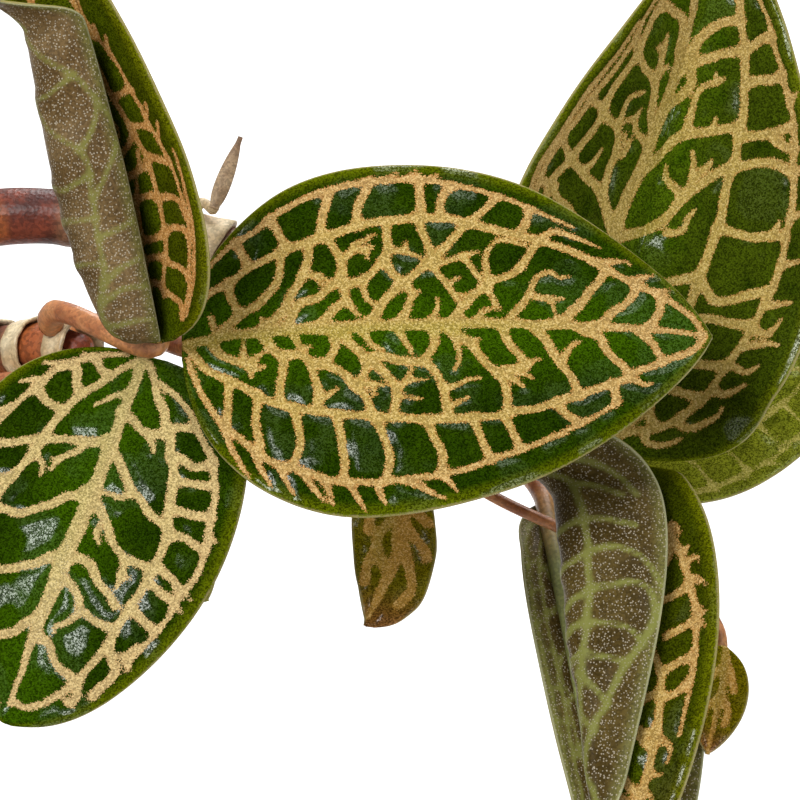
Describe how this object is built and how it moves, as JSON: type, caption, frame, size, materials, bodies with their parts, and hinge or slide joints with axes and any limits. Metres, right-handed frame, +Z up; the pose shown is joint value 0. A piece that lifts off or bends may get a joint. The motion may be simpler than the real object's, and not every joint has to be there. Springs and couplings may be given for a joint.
{
  "type": "potted jewel orchid",
  "caption": "Jewel orchid with gold-veined dark green leaves on fleshy arching stems, rooted in bark mix in a plain tapered terracotta pot with a rim band and drainage holes.",
  "frame": {"origin": "middle of the pot's underside, where it stands", "axes": "+Z up, -Y towards the front, +X to the right as the picture is seen"},
  "size_m": [0.2351, 0.1726, 0.2229],
  "materials": {
    "terracotta": "matte unglazed terracotta",
    "bark_mix": "loose bark and moss",
    "stem": "fleshy reddish brown, satin",
    "leaf": "dark green with gold net veins, glossy",
    "bract": "dry straw brown, papery"
  },
  "bodies": {
    "root": {"pot": "terracotta", "potting_mix": "bark_mix", "stem_1": "stem", "stem_2": "stem", "stem_3": "stem", "stem_4": "stem", "leaf_1_broad": "leaf", "leaf_1_front": "leaf", "leaf_1_upright": "leaf", "leaf_1_under": "leaf", "leaf_1_low": "leaf", "leaf_1_back": "leaf", "leaf_2_tall": "leaf", "leaf_2_behind": "leaf", "leaf_2_folded": "leaf", "leaf_2_hanging": "leaf", "leaf_2_crinkled": "leaf", "leaf_2_stalked": "leaf", "leaf_2_low": "leaf", "leaf_2_left": "leaf", "leaf_3_left": "leaf", "leaf_3_back": "leaf", "leaf_3_front": "leaf", "leaf_3_young": "leaf", "leaf_3_low": "leaf", "leaf_4_front": "leaf", "leaf_4_right": "leaf", "leaf_4_left": "leaf", "leaf_4_young": "leaf", "dry_bract": "bract"}
  },
  "joints": []
}
